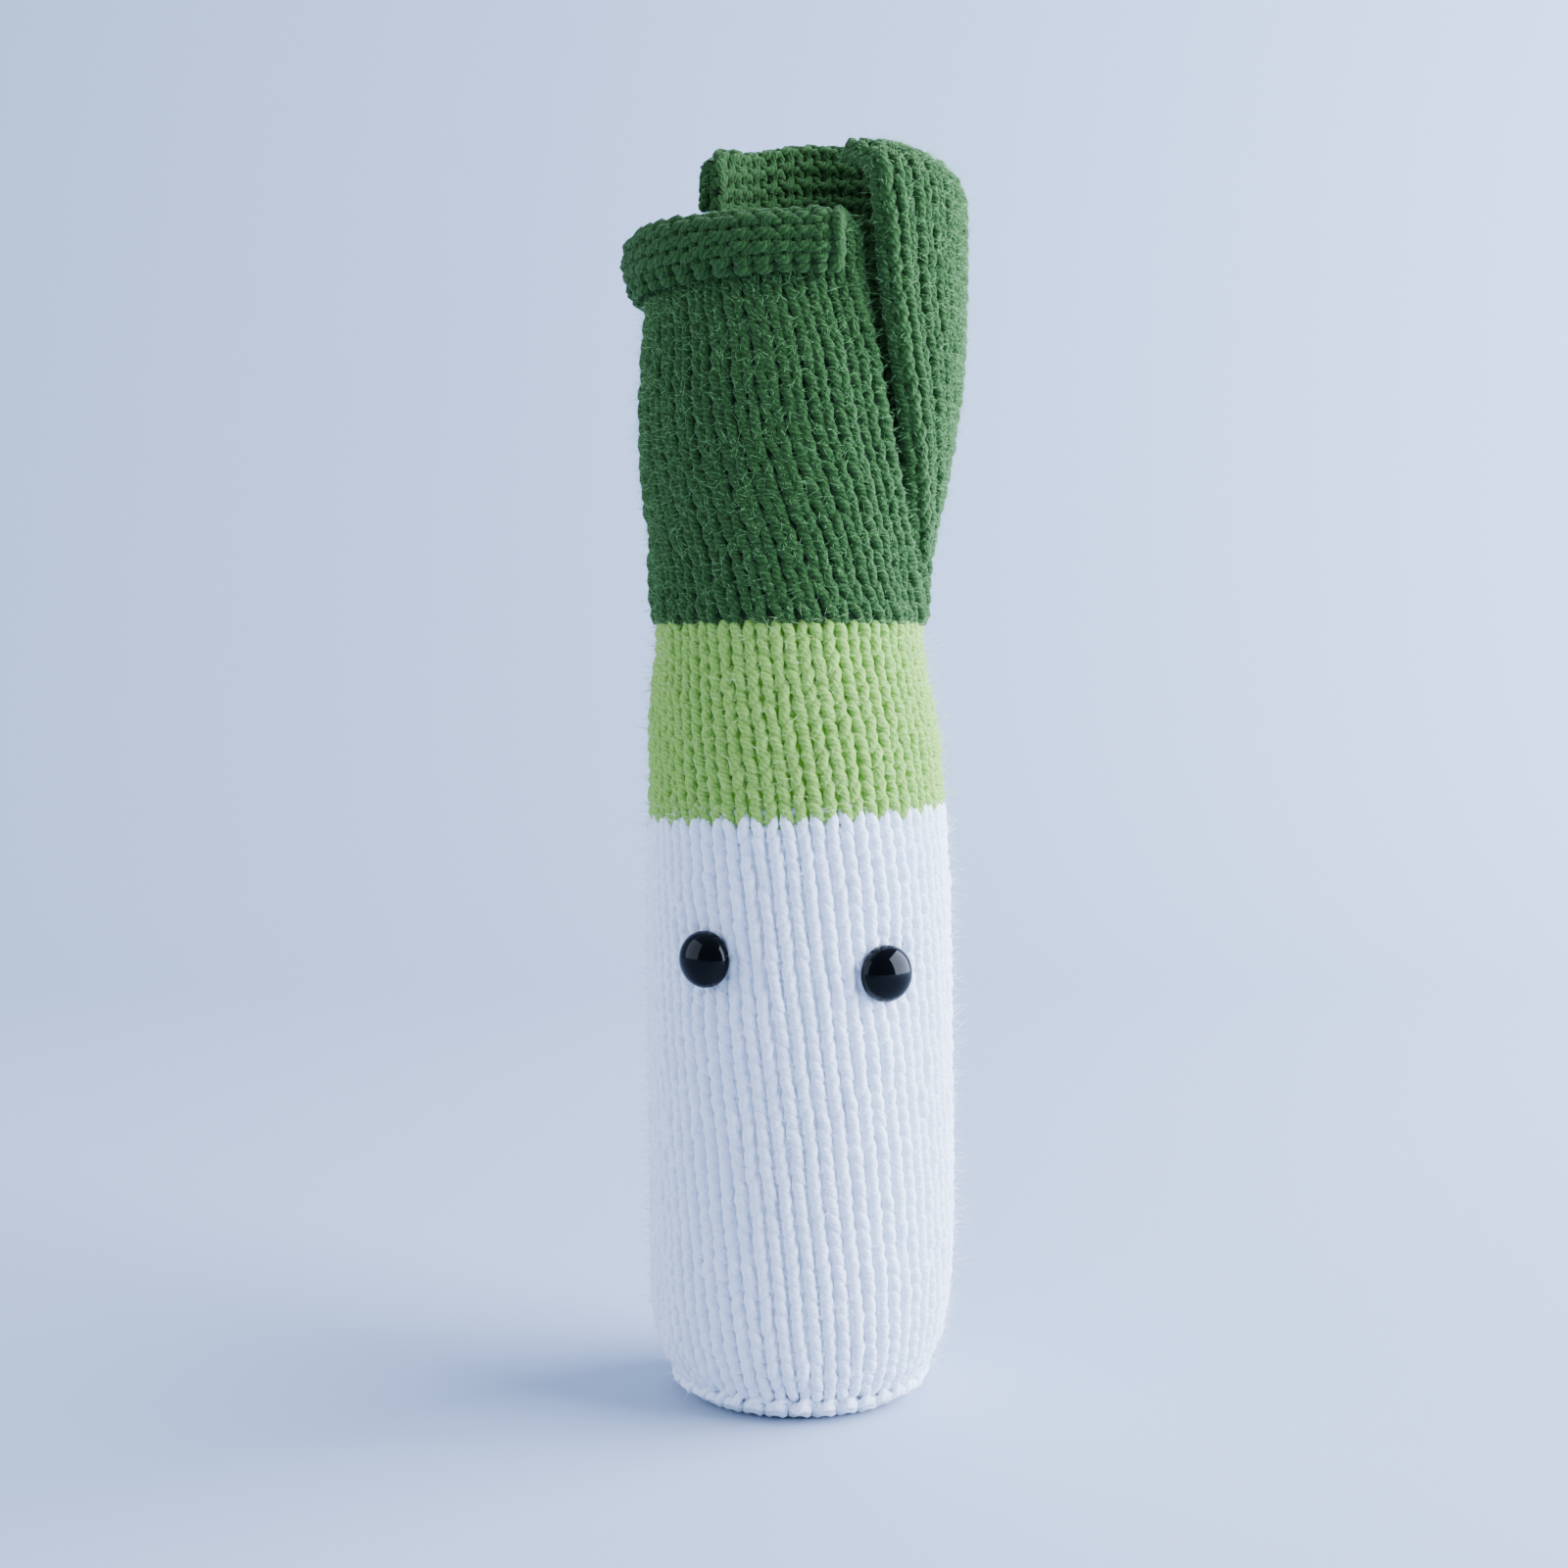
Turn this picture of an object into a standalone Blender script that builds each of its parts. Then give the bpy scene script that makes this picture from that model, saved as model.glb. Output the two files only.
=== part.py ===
# A hand-knitted toy leek that stands on its flat round base.
# White sleeve, pale green band, two curling green leaves, two domed eyes and a stuffed body.
# Metres, +Z up, the front faces -Y. The origin is on the floor under the middle of the base.

from math import cos, exp, pi, radians, sin

import bmesh
import bpy
import numpy as np
from mathutils import Matrix, Vector

MM = 0.001

# Knitted fabric
FABRIC = 2.8 * MM
RELIEF = 0.75 * MM
STITCH_SLANT = 0.3
GAP = 0.3 * MM

# The stuffed body: outer radius and height of its side, from the edge of the flat base upwards
BODY_SIDE = [(14.6, 0.0), (17.2, 0.6), (19.3, 2.0), (21.0, 4.0), (22.6, 6.8), (23.9, 10.4), (24.7, 14.8),
             (25.1, 20.0), (25.2, 32.0), (25.2, 60.0), (25.1, 78.0), (24.7, 90.0), (24.3, 100.0),
             (23.8, 109.0), (23.0, 116.0), (22.2, 121.5), (21.9, 126.0)]
BODY_LEAN = [(0.0, 0.0), (6.0, 0.0), (25.0, 0.3), (65.0, 0.0), (100.0, -0.5), (126.0, -1.7),
             (145.0, -0.9), (210.0, 0.0)]
SEAM_HEIGHT = 2.3 * MM
LIME_BOTTOM = 96.0 * MM
LIME_TOP = 126.0 * MM

# Stitches are larger than life here: the true count is a third higher
BODY_WALES = 24
WHITE_ROWS = 22
LIME_ROWS = 8
LEAF_WALES = 14
LEAF_ROWS = 14
LEAF_ROLL_ROWS = 5
INNER_STEP = 4

# Leaves
LEAF_BOTTOM = LIME_TOP + GAP
EDGE_CURL_RADIUS = 2.4 * MM
EDGE_CURL_SHARE = 0.085
FRONT_LEAN_IN = 3.0 * MM
BACK_EDGE = [(126, 87), (134, 76), (142, 65.5), (150, 57), (158, 50), (167, 43), (178, 37.5), (196, 32)]
# Each rim bends in two arcs. At places across the leaf: the height where it starts to bend, then the
# length and outward turn of the first arc and of the second
FRONT_RIM = [(0.0, (186.3, 5.6, 170, 6.0, 40)), (1.0, (186.3, 5.6, 170, 8.0, 40))]
BACK_RIM = [(0.0, (194.0, 5.5, -60, 7.5, -15)), (0.28, (192.8, 5.0, -50, 7.5, -15)),
            (0.46, (194.5, 4.5, -15, 4.5, -5)), (0.54, (200.0, 5.0, 90, 5.0, 15)),
            (0.62, (205.3, 5.6, 170, 6.5, 40)), (0.75, (205.6, 5.6, 170, 6.5, 40)),
            (1.0, (200.6, 5.6, 170, 6.5, 40))]
# The front leaf's turned-down rim stops short of its standing right edge
CUFF_PULL = 3.8 * MM

# Eyes
EYE_RADIUS = 4.5 * MM
EYE_DOME = 3.1 * MM
EYE_SINK = 0.9 * MM
EYE_PLACES = {"left": (radians(-36.0), 73.6 * MM), "right": (radians(32.5), 71.4 * MM)}
SHANK_RADIUS = 1.2 * MM
SHANK_LENGTH = 7.0 * MM
WASHER_RADIUS = 4.6 * MM
WASHER_DEPTH = (4.9 * MM, 6.1 * MM)

# Inside
CAP_TOP = 125.2 * MM
CAP_THICKNESS = 2.2 * MM


def smooth(t):
    t = np.clip(t, 0.0, 1.0)
    return t * t * (3 - 2 * t)


def along(points, x):
    """The value at x on a smooth line through (x, value) pairs in millimetres, in metres."""
    xs, ys = (np.array(c) * MM for c in zip(*points))
    x = min(max(x, xs[0]), xs[-1])
    i = min(int(np.searchsorted(xs, x, side="right")) - 1, len(xs) - 2)
    slopes = np.gradient(ys, xs)
    h = xs[i + 1] - xs[i]
    t = (x - xs[i]) / h
    a, b = (1 + 2 * t) * (1 - t) ** 2, t * (1 - t) ** 2
    c, d = t * t * (3 - 2 * t), t * t * (t - 1)
    return a * ys[i] + b * h * slopes[i] + c * ys[i + 1] + d * h * slopes[i + 1]


def lean(z):
    return along(BODY_LEAN, z)


def body_line(steps=400):
    """Points, outward normals and running length of the body's outer side, base edge first."""
    sides = np.array(BODY_SIDE) * MM
    key = np.concatenate([[0], np.cumsum(np.hypot(*np.diff(sides, axis=0).T))])
    r_pairs = list(zip(key / MM, sides[:, 0] / MM))
    z_pairs = list(zip(key / MM, sides[:, 1] / MM))
    marks = np.linspace(0, key[-1], steps)
    points = np.array([(along(r_pairs, m), along(z_pairs, m)) for m in marks])
    tangents = np.gradient(points, axis=0)
    tangents /= np.linalg.norm(tangents, axis=1)[:, None]
    normals = np.column_stack([tangents[:, 1], -tangents[:, 0]])
    return points, normals, marks


LINE, LINE_NORMALS, LINE_MARKS = body_line()


def mark_at(height):
    return float(np.interp(height, LINE[:, 1], LINE_MARKS))


def body_spot(turn, mark, depth):
    """A point of the body: turn from the front towards +X, distance up its side, depth outwards."""
    r, z = (np.interp(mark, LINE_MARKS, LINE[:, k]) for k in (0, 1))
    nr, nz = (np.interp(mark, LINE_MARKS, LINE_NORMALS[:, k]) for k in (0, 1))
    r, z = r + nr * depth, z + nz * depth
    return Vector((lean(z) + r * sin(turn), -r * cos(turn), z))


def leaf_plan(start, end, radius, curls):
    """Centre line of a leaf seen from above, with its side edges curled inwards: points and normals."""
    side = 1 if end > start else -1
    reach = [(EDGE_CURL_RADIUS + FABRIC / 2) * sin(min(c, pi / 2)) for c in curls]
    turns = np.linspace(start + side * reach[0] / radius(start), end - side * reach[1] / radius(end), 90)
    hoop = np.array([(radius(t) * sin(t), -radius(t) * cos(t)) for t in turns])
    ends = []
    for edge, curl in ((0, curls[0]), (-1, curls[1])):
        step = hoop[1] - hoop[0] if edge == 0 else hoop[-1] - hoop[-2]
        tangent = step / np.linalg.norm(step) * (-1 if edge == 0 else 1)
        inward = -hoop[edge] / np.linalg.norm(hoop[edge])
        swing = np.linspace(0, curl, 12)[1:] if curl > 0.01 else []
        arc = [hoop[edge] + EDGE_CURL_RADIUS * (tangent * sin(a) + inward * (1 - cos(a))) for a in swing]
        ends.append(np.array(arc) if len(arc) else np.zeros((0, 2)))
    path = np.vstack([ends[0][::-1], hoop, ends[1]])
    tangents = np.gradient(path, axis=0)
    tangents /= np.linalg.norm(tangents, axis=1)[:, None]
    normals = np.column_stack([tangents[:, 1], -tangents[:, 0]]) * side
    length = np.concatenate([[0], np.cumsum(np.linalg.norm(np.diff(path, axis=0), axis=1))])
    return path, normals, length / length[-1]


def front_leaf(z):
    """Angles of the front leaf's two edges at a height, and its radius at an angle."""
    rise = smooth((z - LEAF_BOTTOM) / (30 * MM))
    tuck = FRONT_LEAN_IN * smooth((z - 162 * MM) / (22 * MM))

    def radius(turn):
        high = (23.3 + 2.5 * exp(-(((turn + radians(88)) / radians(50)) ** 2))) * MM
        drawn = tuck * exp(-(((turn + radians(10)) / radians(75)) ** 2))
        return 22.6 * MM * (1 - rise) + high * rise - drawn - FABRIC / 2

    start = radians(24 + 58 * exp(-(z - 128 * MM) / (27 * MM)))
    return start, radians(-98 - 42 * smooth((z - 132 * MM) / (35 * MM))), radius


def back_leaf(z):
    """The same for the back leaf, which runs from the front right round to the left behind."""
    shape = [(20, 25.0), (60, 27.0), (90, 27.6), (135, 25.4), (180, 21.6), (215, 18.2), (245, 16.6)]
    degrees, sizes = zip(*shape)

    def radius(turn):
        high = np.interp(turn, np.radians(degrees), sizes) * MM
        rise = smooth((z - LEAF_BOTTOM) / ((46 - 30 * smooth((turn - pi) / radians(50))) * MM))
        return 22.6 * MM * (1 - rise) + high * rise - FABRIC / 2

    start = np.interp(z / MM, *zip(*BACK_EDGE))
    return radians(start), radians(259 - 17 * smooth((z - LEAF_BOTTOM) / (20 * MM))), radius


def rim(leaf, u):
    """Height where the rim begins to bend, then length and outward turn of its two arcs."""
    places, shapes = zip(*(FRONT_RIM if leaf is front_leaf else BACK_RIM))
    low = max(k for k, place in enumerate(places[:-1]) if place <= u or k == 0)
    share = smooth((u - places[low]) / (places[low + 1] - places[low]))
    start, first, turn, second, more = (a + (b - a) * share for a, b in zip(shapes[low], shapes[low + 1]))
    return start * MM, first * MM, radians(turn), second * MM, radians(more)


def arc(length, start, turn):
    """Outward and upward run of an arc whose direction starts at an angle from upright."""
    turn = turn if abs(turn) > 1e-5 else 1e-5
    return (length / turn * (cos(start) - cos(start + turn)), length / turn * (sin(start + turn) - sin(start)))


def plan_spot(plan, u):
    """Place and outward direction on a leaf's middle line seen from above."""
    path, normals, share = plan
    place = Vector([np.interp(u, share, path[:, k]) for k in (0, 1)] + [0])
    return place, Vector([np.interp(u, share, normals[:, k]) for k in (0, 1)] + [0]).normalized()


def leaf_spot(leaf, u, v, depth, plans={}):
    """A point of a leaf: u across it, v up it (over 1 on the rim), depth from its middle layer."""
    height, first, turn, second, more = rim(leaf, u)
    z = LEAF_BOTTOM + (height - LEAF_BOTTOM) * min(v, 1.0)
    key = (leaf, round(z, 7))
    if key not in plans:
        start, end, radius = leaf(z)
        fade = 1 - smooth((z - 150 * MM) / (30 * MM))
        base = smooth((z - LEAF_BOTTOM) / (12 * MM))
        edge_curl = radians(100 - (60 * smooth((z - 168 * MM) / (16 * MM)) if leaf is front_leaf else 0))
        plans[key] = leaf_plan(start, end, radius, (edge_curl * base, radians(90) * base * fade))
    place, normal = plan_spot(plans[key], u)
    root, outward = plan_spot(plans[key], min(max(u, EDGE_CURL_SHARE), 1 - EDGE_CURL_SHARE / 2))
    run = max(v - 1.0, 0.0) * (first + second)
    share, rest = min(run / first, 1.0), max(run - first, 0.0)
    out, up = arc(run - rest, 0.0, turn * share)
    out2, up2 = arc(rest, turn * share, more * rest / second)
    bend = turn * share + more * rest / second
    across = outward.cross(Vector((0, 0, 1)))
    turned_out = outward * cos(bend) - Vector((0, 0, sin(bend)))
    offset = place - root + normal * depth
    spot = root + across * offset.dot(across) + turned_out * offset.dot(outward)
    if leaf is front_leaf:
        spot += across * CUFF_PULL * max(1 - u / 0.3, 0.0) ** 2 * smooth((v - 1) / 0.3)
    return spot + outward * (out + out2) + Vector((lean(z), 0, z + up + up2))


def knit_wall(name, spot, wales, heights, loop, ends, flat_from=99):
    """A closed wall of fabric: raised stitches on its outer face, plain on its inner face.

    heights are the rows' places; ends says at which end the rim follows the zigzag of the stitches.
    """
    columns = 2 * wales
    count = columns if loop else columns + 1
    rows = len(heights) - 1
    bm = bmesh.new()

    def place(j, k, zigzag=True):
        j0, j1 = max(j - 1, 0), min(j + 1, rows)
        step = (heights[j1] - heights[j0]) / (j1 - j0) * STITCH_SLANT
        free = (j == 0 and not ends[0]) or (j == rows and not ends[1])
        shift = 0 if free or not zigzag else (step if k % 2 else -step)
        return k / columns, heights[j] + shift

    outer = [[bm.verts.new(spot(*place(j, k), 0)) for k in range(count)] for j in range(rows + 1)]
    inner_rows = sorted({*range(INNER_STEP), *range(INNER_STEP, rows, INNER_STEP if loop else 1), rows})
    inner = [[bm.verts.new(spot(*place(j, k, j in (0, rows)), -FABRIC)) for k in range(count)]
             for j in inner_rows]
    for j in range(rows):
        for k in range(columns):
            n = (k + 1) % count
            ring = [outer[j][k], outer[j][n], outer[j + 1][n], outer[j + 1][k]]
            if j < flat_from:
                u = (place(j, k)[0] + (k + 1) / columns) / 2
                v = sum(place(a, b)[1] for a in (j, j + 1) for b in (k, k + 1)) / 4
                peak = bm.verts.new(spot(u, v, RELIEF))
                for a, b in zip(ring, ring[1:] + ring[:1]):
                    bm.faces.new((a, b, peak))
            else:
                two_triangles(bm, ring)
    for k in range(columns):
        n = (k + 1) % count
        for low, high in zip(inner, inner[1:]):
            two_triangles(bm, [low[n], low[k], high[k], high[n]])
        two_triangles(bm, [inner[0][k], inner[0][n], outer[0][n], outer[0][k]])
        two_triangles(bm, [outer[-1][k], outer[-1][n], inner[-1][n], inner[-1][k]])
    if not loop:
        for j in range(rows):
            two_triangles(bm, [outer[j + 1][0], outer[j][0], inner[j][0], inner[j + 1][0]])
            two_triangles(bm, [inner[j + 1][-1], inner[j][-1], outer[j][-1], outer[j + 1][-1]])
    return finish_mesh(name, bm)


def two_triangles(bm, quad):
    bm.faces.new(quad[:3])
    bm.faces.new((quad[0], quad[2], quad[3]))


def finish_mesh(name, bm):
    bmesh.ops.recalc_face_normals(bm, faces=bm.faces)
    if bm.calc_volume(signed=True) < 0:
        bmesh.ops.reverse_faces(bm, faces=bm.faces)
    mesh = bpy.data.meshes.new(name)
    bm.to_mesh(mesh)
    bm.free()
    piece = bpy.data.objects.new(name, mesh)
    bpy.context.scene.collection.objects.link(piece)
    return piece


def turned(name, outline, sides, place=None):
    """A solid of revolution about Z from (radius, height) points, the first and last on the axis."""
    bm = bmesh.new()
    ring_of = []
    for r, z in outline:
        if r < 1e-9:
            ring_of.append([bm.verts.new((0, 0, z))] * sides)
        else:
            angles = (2 * pi * k / sides for k in range(sides))
            ring_of.append([bm.verts.new((r * cos(a), r * sin(a), z)) for a in angles])
    for low, high in zip(ring_of, ring_of[1:]):
        for k in range(sides):
            n = (k + 1) % sides
            corners = list(dict.fromkeys([low[k], low[n], high[n], high[k]]))
            if len(corners) > 2:
                bm.faces.new(corners)
    bmesh.ops.triangulate(bm, faces=bm.faces)
    if place is not None:
        bm.transform(place)
    return finish_mesh(name, bm)


def cut(piece, cutter):
    """Takes the cutter's solid out of the piece, then removes the cutter."""
    cutter.hide_render = True
    cutter.display_type = "WIRE"
    change = piece.modifiers.new("cut_" + cutter.name, "BOOLEAN")
    change.operation = "DIFFERENCE"
    change.solver = "EXACT"
    change.object = cutter
    with bpy.context.temp_override(object=piece, active_object=piece):
        bpy.ops.object.modifier_apply(modifier=change.name)
    bpy.data.objects.remove(cutter)


def coat(piece, name, colour, roughness):
    material = bpy.data.materials.get(name) or bpy.data.materials.new(name)
    material.use_nodes = True
    shader = material.node_tree.nodes["Principled BSDF"]
    shader.inputs["Base Color"].default_value = (*colour, 1)
    shader.inputs["Roughness"].default_value = roughness
    shader.inputs["Metallic"].default_value = 0.0
    piece.data.materials.append(material)


def eye_frame(turn, height):
    """Local +Z points straight out of the body at the eye, with the origin on the body's surface."""
    radius = float(np.interp(height, LINE[:, 1], LINE[:, 0]))
    centre = Vector((lean(height) + radius * sin(turn), -radius * cos(turn), height))
    out = Vector((sin(turn), -cos(turn), 0))
    across = Vector((cos(turn), sin(turn), 0))
    basis = Matrix((across, out.cross(across), out)).transposed().to_4x4()
    return Matrix.Translation(centre) @ basis


def base_disc():
    """The round knitted bottom, flat underneath and curved up to the seam."""
    seam = mark_at(SEAM_HEIGHT) - GAP
    marks = np.linspace(0, seam, 4)
    under = [body_profile(m, 0) for m in marks]
    upper = [body_profile(m, -FABRIC) for m in marks[::-1]]
    return turned("base_disc", [(0, 0), (8 * MM, 0), *under, *upper, (8 * MM, FABRIC), (0, FABRIC)], 48)


def body_profile(mark, depth):
    r, z = (float(np.interp(mark, LINE_MARKS, LINE[:, k])) for k in (0, 1))
    nr, nz = (float(np.interp(mark, LINE_MARKS, LINE_NORMALS[:, k])) for k in (0, 1))
    return r + nr * depth, z + nz * depth


def stuffing():
    """One soft filling, clear of the fabric all round, with a low dome under the inner cap."""
    depth = -FABRIC - 2 * GAP
    top = CAP_TOP - CAP_THICKNESS - GAP
    marks = np.linspace(mark_at(5 * MM), mark_at(top - 1.5 * MM), 9)
    side = [body_profile(m, depth) for m in marks]
    low = FABRIC + GAP
    outline = [(0, low), (11 * MM, low), (15.4 * MM, low + 0.7 * MM), *side]
    outline += [(side[-1][0] * 0.9, top - 0.2 * MM), (0, top)]
    piece = turned("stuffing", outline, 48)
    for vertex in piece.data.vertices:
        vertex.co.x += lean(vertex.co.z)
    return piece


def inner_cap():
    radius = body_profile(mark_at(CAP_TOP), -FABRIC - GAP)[0] - 0.1 * MM
    low = CAP_TOP - CAP_THICKNESS
    outline = [(0, low), (radius - 0.8 * MM, low), (radius, low + 0.8 * MM), (radius, CAP_TOP - 0.8 * MM),
               (radius - 0.8 * MM, CAP_TOP), (0, CAP_TOP)]
    return turned("inner_cap", outline, 40, Matrix.Translation((lean(CAP_TOP), 0, 0)))


def eye(side, turn, height, sleeve, filling):
    """A domed eye on a shank through the fabric, and the washer that grips it inside."""
    place = eye_frame(turn, height)
    back = -EYE_SINK
    dome = [(EYE_RADIUS * cos(a), back + 0.7 * MM + EYE_DOME * sin(a)) for a in np.linspace(0, pi / 2, 7)[:-1]]
    outline = [(0, back - SHANK_LENGTH), (SHANK_RADIUS, back - SHANK_LENGTH), (SHANK_RADIUS, back),
               (EYE_RADIUS - 0.4 * MM, back), (EYE_RADIUS, back + 0.35 * MM), *dome,
               (0, back + 0.7 * MM + EYE_DOME)]
    button = turned("eye_" + side, outline, 24, place)
    near, far = (-d for d in WASHER_DEPTH)
    bore = SHANK_RADIUS + GAP
    ring = [(bore, far), (WASHER_RADIUS, far), (WASHER_RADIUS, near), (bore, near), (bore, far)]
    washer = turned_ring("washer_" + side, ring, 24, place)
    dimple = [(0, back - GAP), (EYE_RADIUS + GAP, back - GAP), (EYE_RADIUS + GAP, 4 * MM), (0, 4 * MM)]
    hole = [(0, -5 * MM), (bore, -5 * MM), (bore, 1 * MM), (0, 1 * MM)]
    pocket = [(0, back - SHANK_LENGTH - GAP), (WASHER_RADIUS + GAP, back - SHANK_LENGTH - GAP),
              (WASHER_RADIUS + GAP, 2 * MM), (0, 2 * MM)]
    cut(sleeve, turned("dimple", dimple, 28, place))
    cut(sleeve, turned("shank_hole", hole, 16, place))
    cut(filling, turned("pocket", pocket, 24, place))
    return button, washer


def turned_ring(name, outline, sides, place):
    bm = bmesh.new()
    rings = [[bm.verts.new((r * cos(2 * pi * k / sides), r * sin(2 * pi * k / sides), z))
              for k in range(sides)] for r, z in outline[:-1]]
    for low, high in zip(rings, rings[1:] + rings[:1]):
        for k in range(sides):
            n = (k + 1) % sides
            bm.faces.new((low[k], low[n], high[n], high[k]))
    bmesh.ops.triangulate(bm, faces=bm.faces)
    bm.transform(place)
    return finish_mesh(name, bm)


def sleeve(name, low, high, rows, ends):
    marks = np.linspace(mark_at(low), mark_at(high), rows + 1)
    return knit_wall(name, lambda u, m, d: body_spot(2 * pi * u, m, d), BODY_WALES, list(marks), True, ends)


def leaf(name, shape):
    heights = list(np.linspace(0, 1, LEAF_ROWS + 1)) + list(1 + np.linspace(0, 1, LEAF_ROLL_ROWS + 1)[1:])
    return knit_wall(name, lambda u, v, d: leaf_spot(shape, u, v, d + FABRIC / 2), LEAF_WALES, heights,
                     False, (False, False), LEAF_ROWS)


def main():
    for old in list(bpy.data.objects):
        bpy.data.objects.remove(old)
    white = sleeve("sleeve_white", SEAM_HEIGHT, LIME_BOTTOM - GAP, WHITE_ROWS, (False, True))
    lime = sleeve("sleeve_lime", LIME_BOTTOM, LIME_TOP, LIME_ROWS, (True, False))
    front = leaf("leaf_front", front_leaf)
    back = leaf("leaf_back", back_leaf)
    disc = base_disc()
    filling = stuffing()
    cap = inner_cap()
    for side, (turn, height) in EYE_PLACES.items():
        button, washer = eye(side, turn, height, white, filling)
        coat(button, "black_plastic", (0.006, 0.006, 0.007), 0.12)
        coat(washer, "washer_plastic", (0.75, 0.75, 0.74), 0.45)
    for piece in (white, disc):
        coat(piece, "white_yarn", (0.80, 0.82, 0.86), 0.9)
    coat(lime, "lime_yarn", (0.47, 0.70, 0.22), 0.9)
    for piece in (front, back, cap):
        coat(piece, "green_yarn", (0.07, 0.27, 0.10), 0.9)
    coat(filling, "polyester_stuffing", (0.85, 0.85, 0.84), 0.95)


main()
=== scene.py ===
# The looks of the hand-knitted toy leek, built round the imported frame: every course of yarn is a
# real tube that loops through the fabric, over a thin lining, with a fuzz of fine fibres on top.
# Metres, +Z up, the front faces -Y.

from math import pi, radians

import bpy
import numpy as np
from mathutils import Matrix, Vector


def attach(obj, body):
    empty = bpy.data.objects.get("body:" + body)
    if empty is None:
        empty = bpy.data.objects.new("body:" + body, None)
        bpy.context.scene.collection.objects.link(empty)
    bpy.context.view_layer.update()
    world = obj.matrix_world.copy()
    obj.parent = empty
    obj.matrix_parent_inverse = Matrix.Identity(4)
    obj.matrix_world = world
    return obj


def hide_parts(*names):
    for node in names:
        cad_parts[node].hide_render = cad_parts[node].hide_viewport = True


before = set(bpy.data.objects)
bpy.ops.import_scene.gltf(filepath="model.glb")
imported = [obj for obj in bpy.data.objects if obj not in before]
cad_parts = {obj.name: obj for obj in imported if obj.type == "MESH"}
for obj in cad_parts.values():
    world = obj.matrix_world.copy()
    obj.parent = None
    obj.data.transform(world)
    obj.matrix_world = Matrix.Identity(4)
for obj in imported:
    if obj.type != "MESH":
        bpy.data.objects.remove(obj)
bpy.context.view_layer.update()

MM = 0.001
RNG = np.random.default_rng(11)

# Fabric: its thickness, and the gap left where two pieces are joined
FABRIC = 2.8 * MM
GAP = 0.3 * MM

# The stuffed body: outer radius and height of its side, from the edge of the flat base upwards
BODY_SIDE = [(14.6, 0.0), (17.2, 0.6), (19.3, 2.0), (21.0, 4.0), (22.6, 6.8), (23.9, 10.4), (24.7, 14.8),
             (25.1, 20.0), (25.2, 32.0), (25.2, 60.0), (25.1, 78.0), (24.7, 90.0), (24.3, 100.0),
             (23.8, 109.0), (23.0, 116.0), (22.2, 121.5), (21.9, 126.8)]
BODY_LEAN = [(0.0, 0.0), (6.0, 0.0), (25.0, 0.3), (65.0, 0.0), (100.0, -0.5), (126.0, -1.7),
             (145.0, -0.9), (210.0, 0.0)]
SEAM_HEIGHT = 3.6 * MM
LIME_BOTTOM = 96.0 * MM
LIME_TOP = 126.6 * MM
BODY_RADIUS = 25.2 * MM

# Leaves
LEAF_BOTTOM = LIME_TOP + GAP
EDGE_CURL_RADIUS = 2.4 * MM
EDGE_CURL_SHARE = 0.085
FRONT_LEAN_IN = 3.0 * MM
BACK_EDGE = [(126, 86), (134, 74), (142, 62.5), (150, 53), (158, 46), (167, 39.5), (178, 34), (196, 29)]
# Each rim bends in two arcs. At places across the leaf: the height where it starts to bend, then the
# length and outward turn of the first arc and of the second
FRONT_RIM = [(0.0, (186.3, 5.6, 170, 6.0, 40)), (1.0, (186.3, 5.6, 170, 8.0, 40))]
BACK_RIM = [(0.0, (194.0, 5.5, -60, 7.5, -15)), (0.28, (192.8, 5.0, -50, 7.5, -15)),
            (0.46, (193.5, 4.5, -20, 4.5, -5)), (0.54, (197.8, 5.0, 120, 5.0, 25)),
            (0.62, (205.3, 5.6, 170, 6.5, 40)), (0.75, (205.6, 5.6, 170, 6.5, 40)),
            (0.92, (203.0, 4.8, 170, 6.5, 28)), (1.0, (201.4, 3.0, 172, 6.0, 8))]
# The front leaf's turned-down rim stops short of its standing right edge
CUFF_PULL = 3.8 * MM
# Share of a rolled rim that the lining reaches up
LINING_RIM = 0.75

# Knitting
BODY_STITCHES = 32
YARN = 0.84 * MM
BODY_YARN = 0.95 * MM
LEAF_YARN = 1.03 * YARN
YARN_SIDES = 6
LOOP_POINTS = 13
WALE_SLANT = 0.11
LEG_PAIRING = 0.035
# Shape of the loops: sideways swing in stitches, half height in rows, depth through the fabric
WHITE_LOOP = (0.158, 0.96, 0.54 * MM)
LIME_LOOP = (0.195, 0.92, 0.66 * MM)
LEAF_LOOP = (0.210, 0.94, 0.62 * MM)
BODY_FIBRE = 0.034 * MM
LEAF_FIBRE = 0.026 * MM
BODY_FIBRE_STRETCH = 1.35
# Rows of loops up each colour of the body, and turns of the yarn that sews the bottom on
WHITE_COURSES = 35
LIME_COURSES = 12
SEAM_WRAPS = 37
SEAM_COIL = 0.62 * MM
# The bottom: radius of its outermost and innermost round, how many, and the width of a stitch
BASE_ROUNDS = (19.2, 1.4, 9)
BASE_STITCH = 3.7 * MM
# Points along a yarn between random values, for its path and for its thickness
LOOP_DRIFT = 9
PLY_DRIFT = 4

# Eyes
EYE_RADIUS = 4.5 * MM
EYE_DOME = 3.1 * MM
EYE_SINK = 0.9 * MM
EYE_PLACES = {"left": (radians(-36.6), 74.0 * MM), "right": (radians(32.5), 71.9 * MM)}
DIMPLE_DEPTH = 1.5 * MM
DIMPLE_REACH = 6.0 * MM
EYE_SHANK = 7.0 * MM

# Camera, from the photograph's perspective
CAMERA_PLACE = (-2.57 * MM, -371.0 * MM, 121.0 * MM)
CAMERA_PITCH = radians(3.2)
CAMERA_LENS = 51.98


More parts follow.
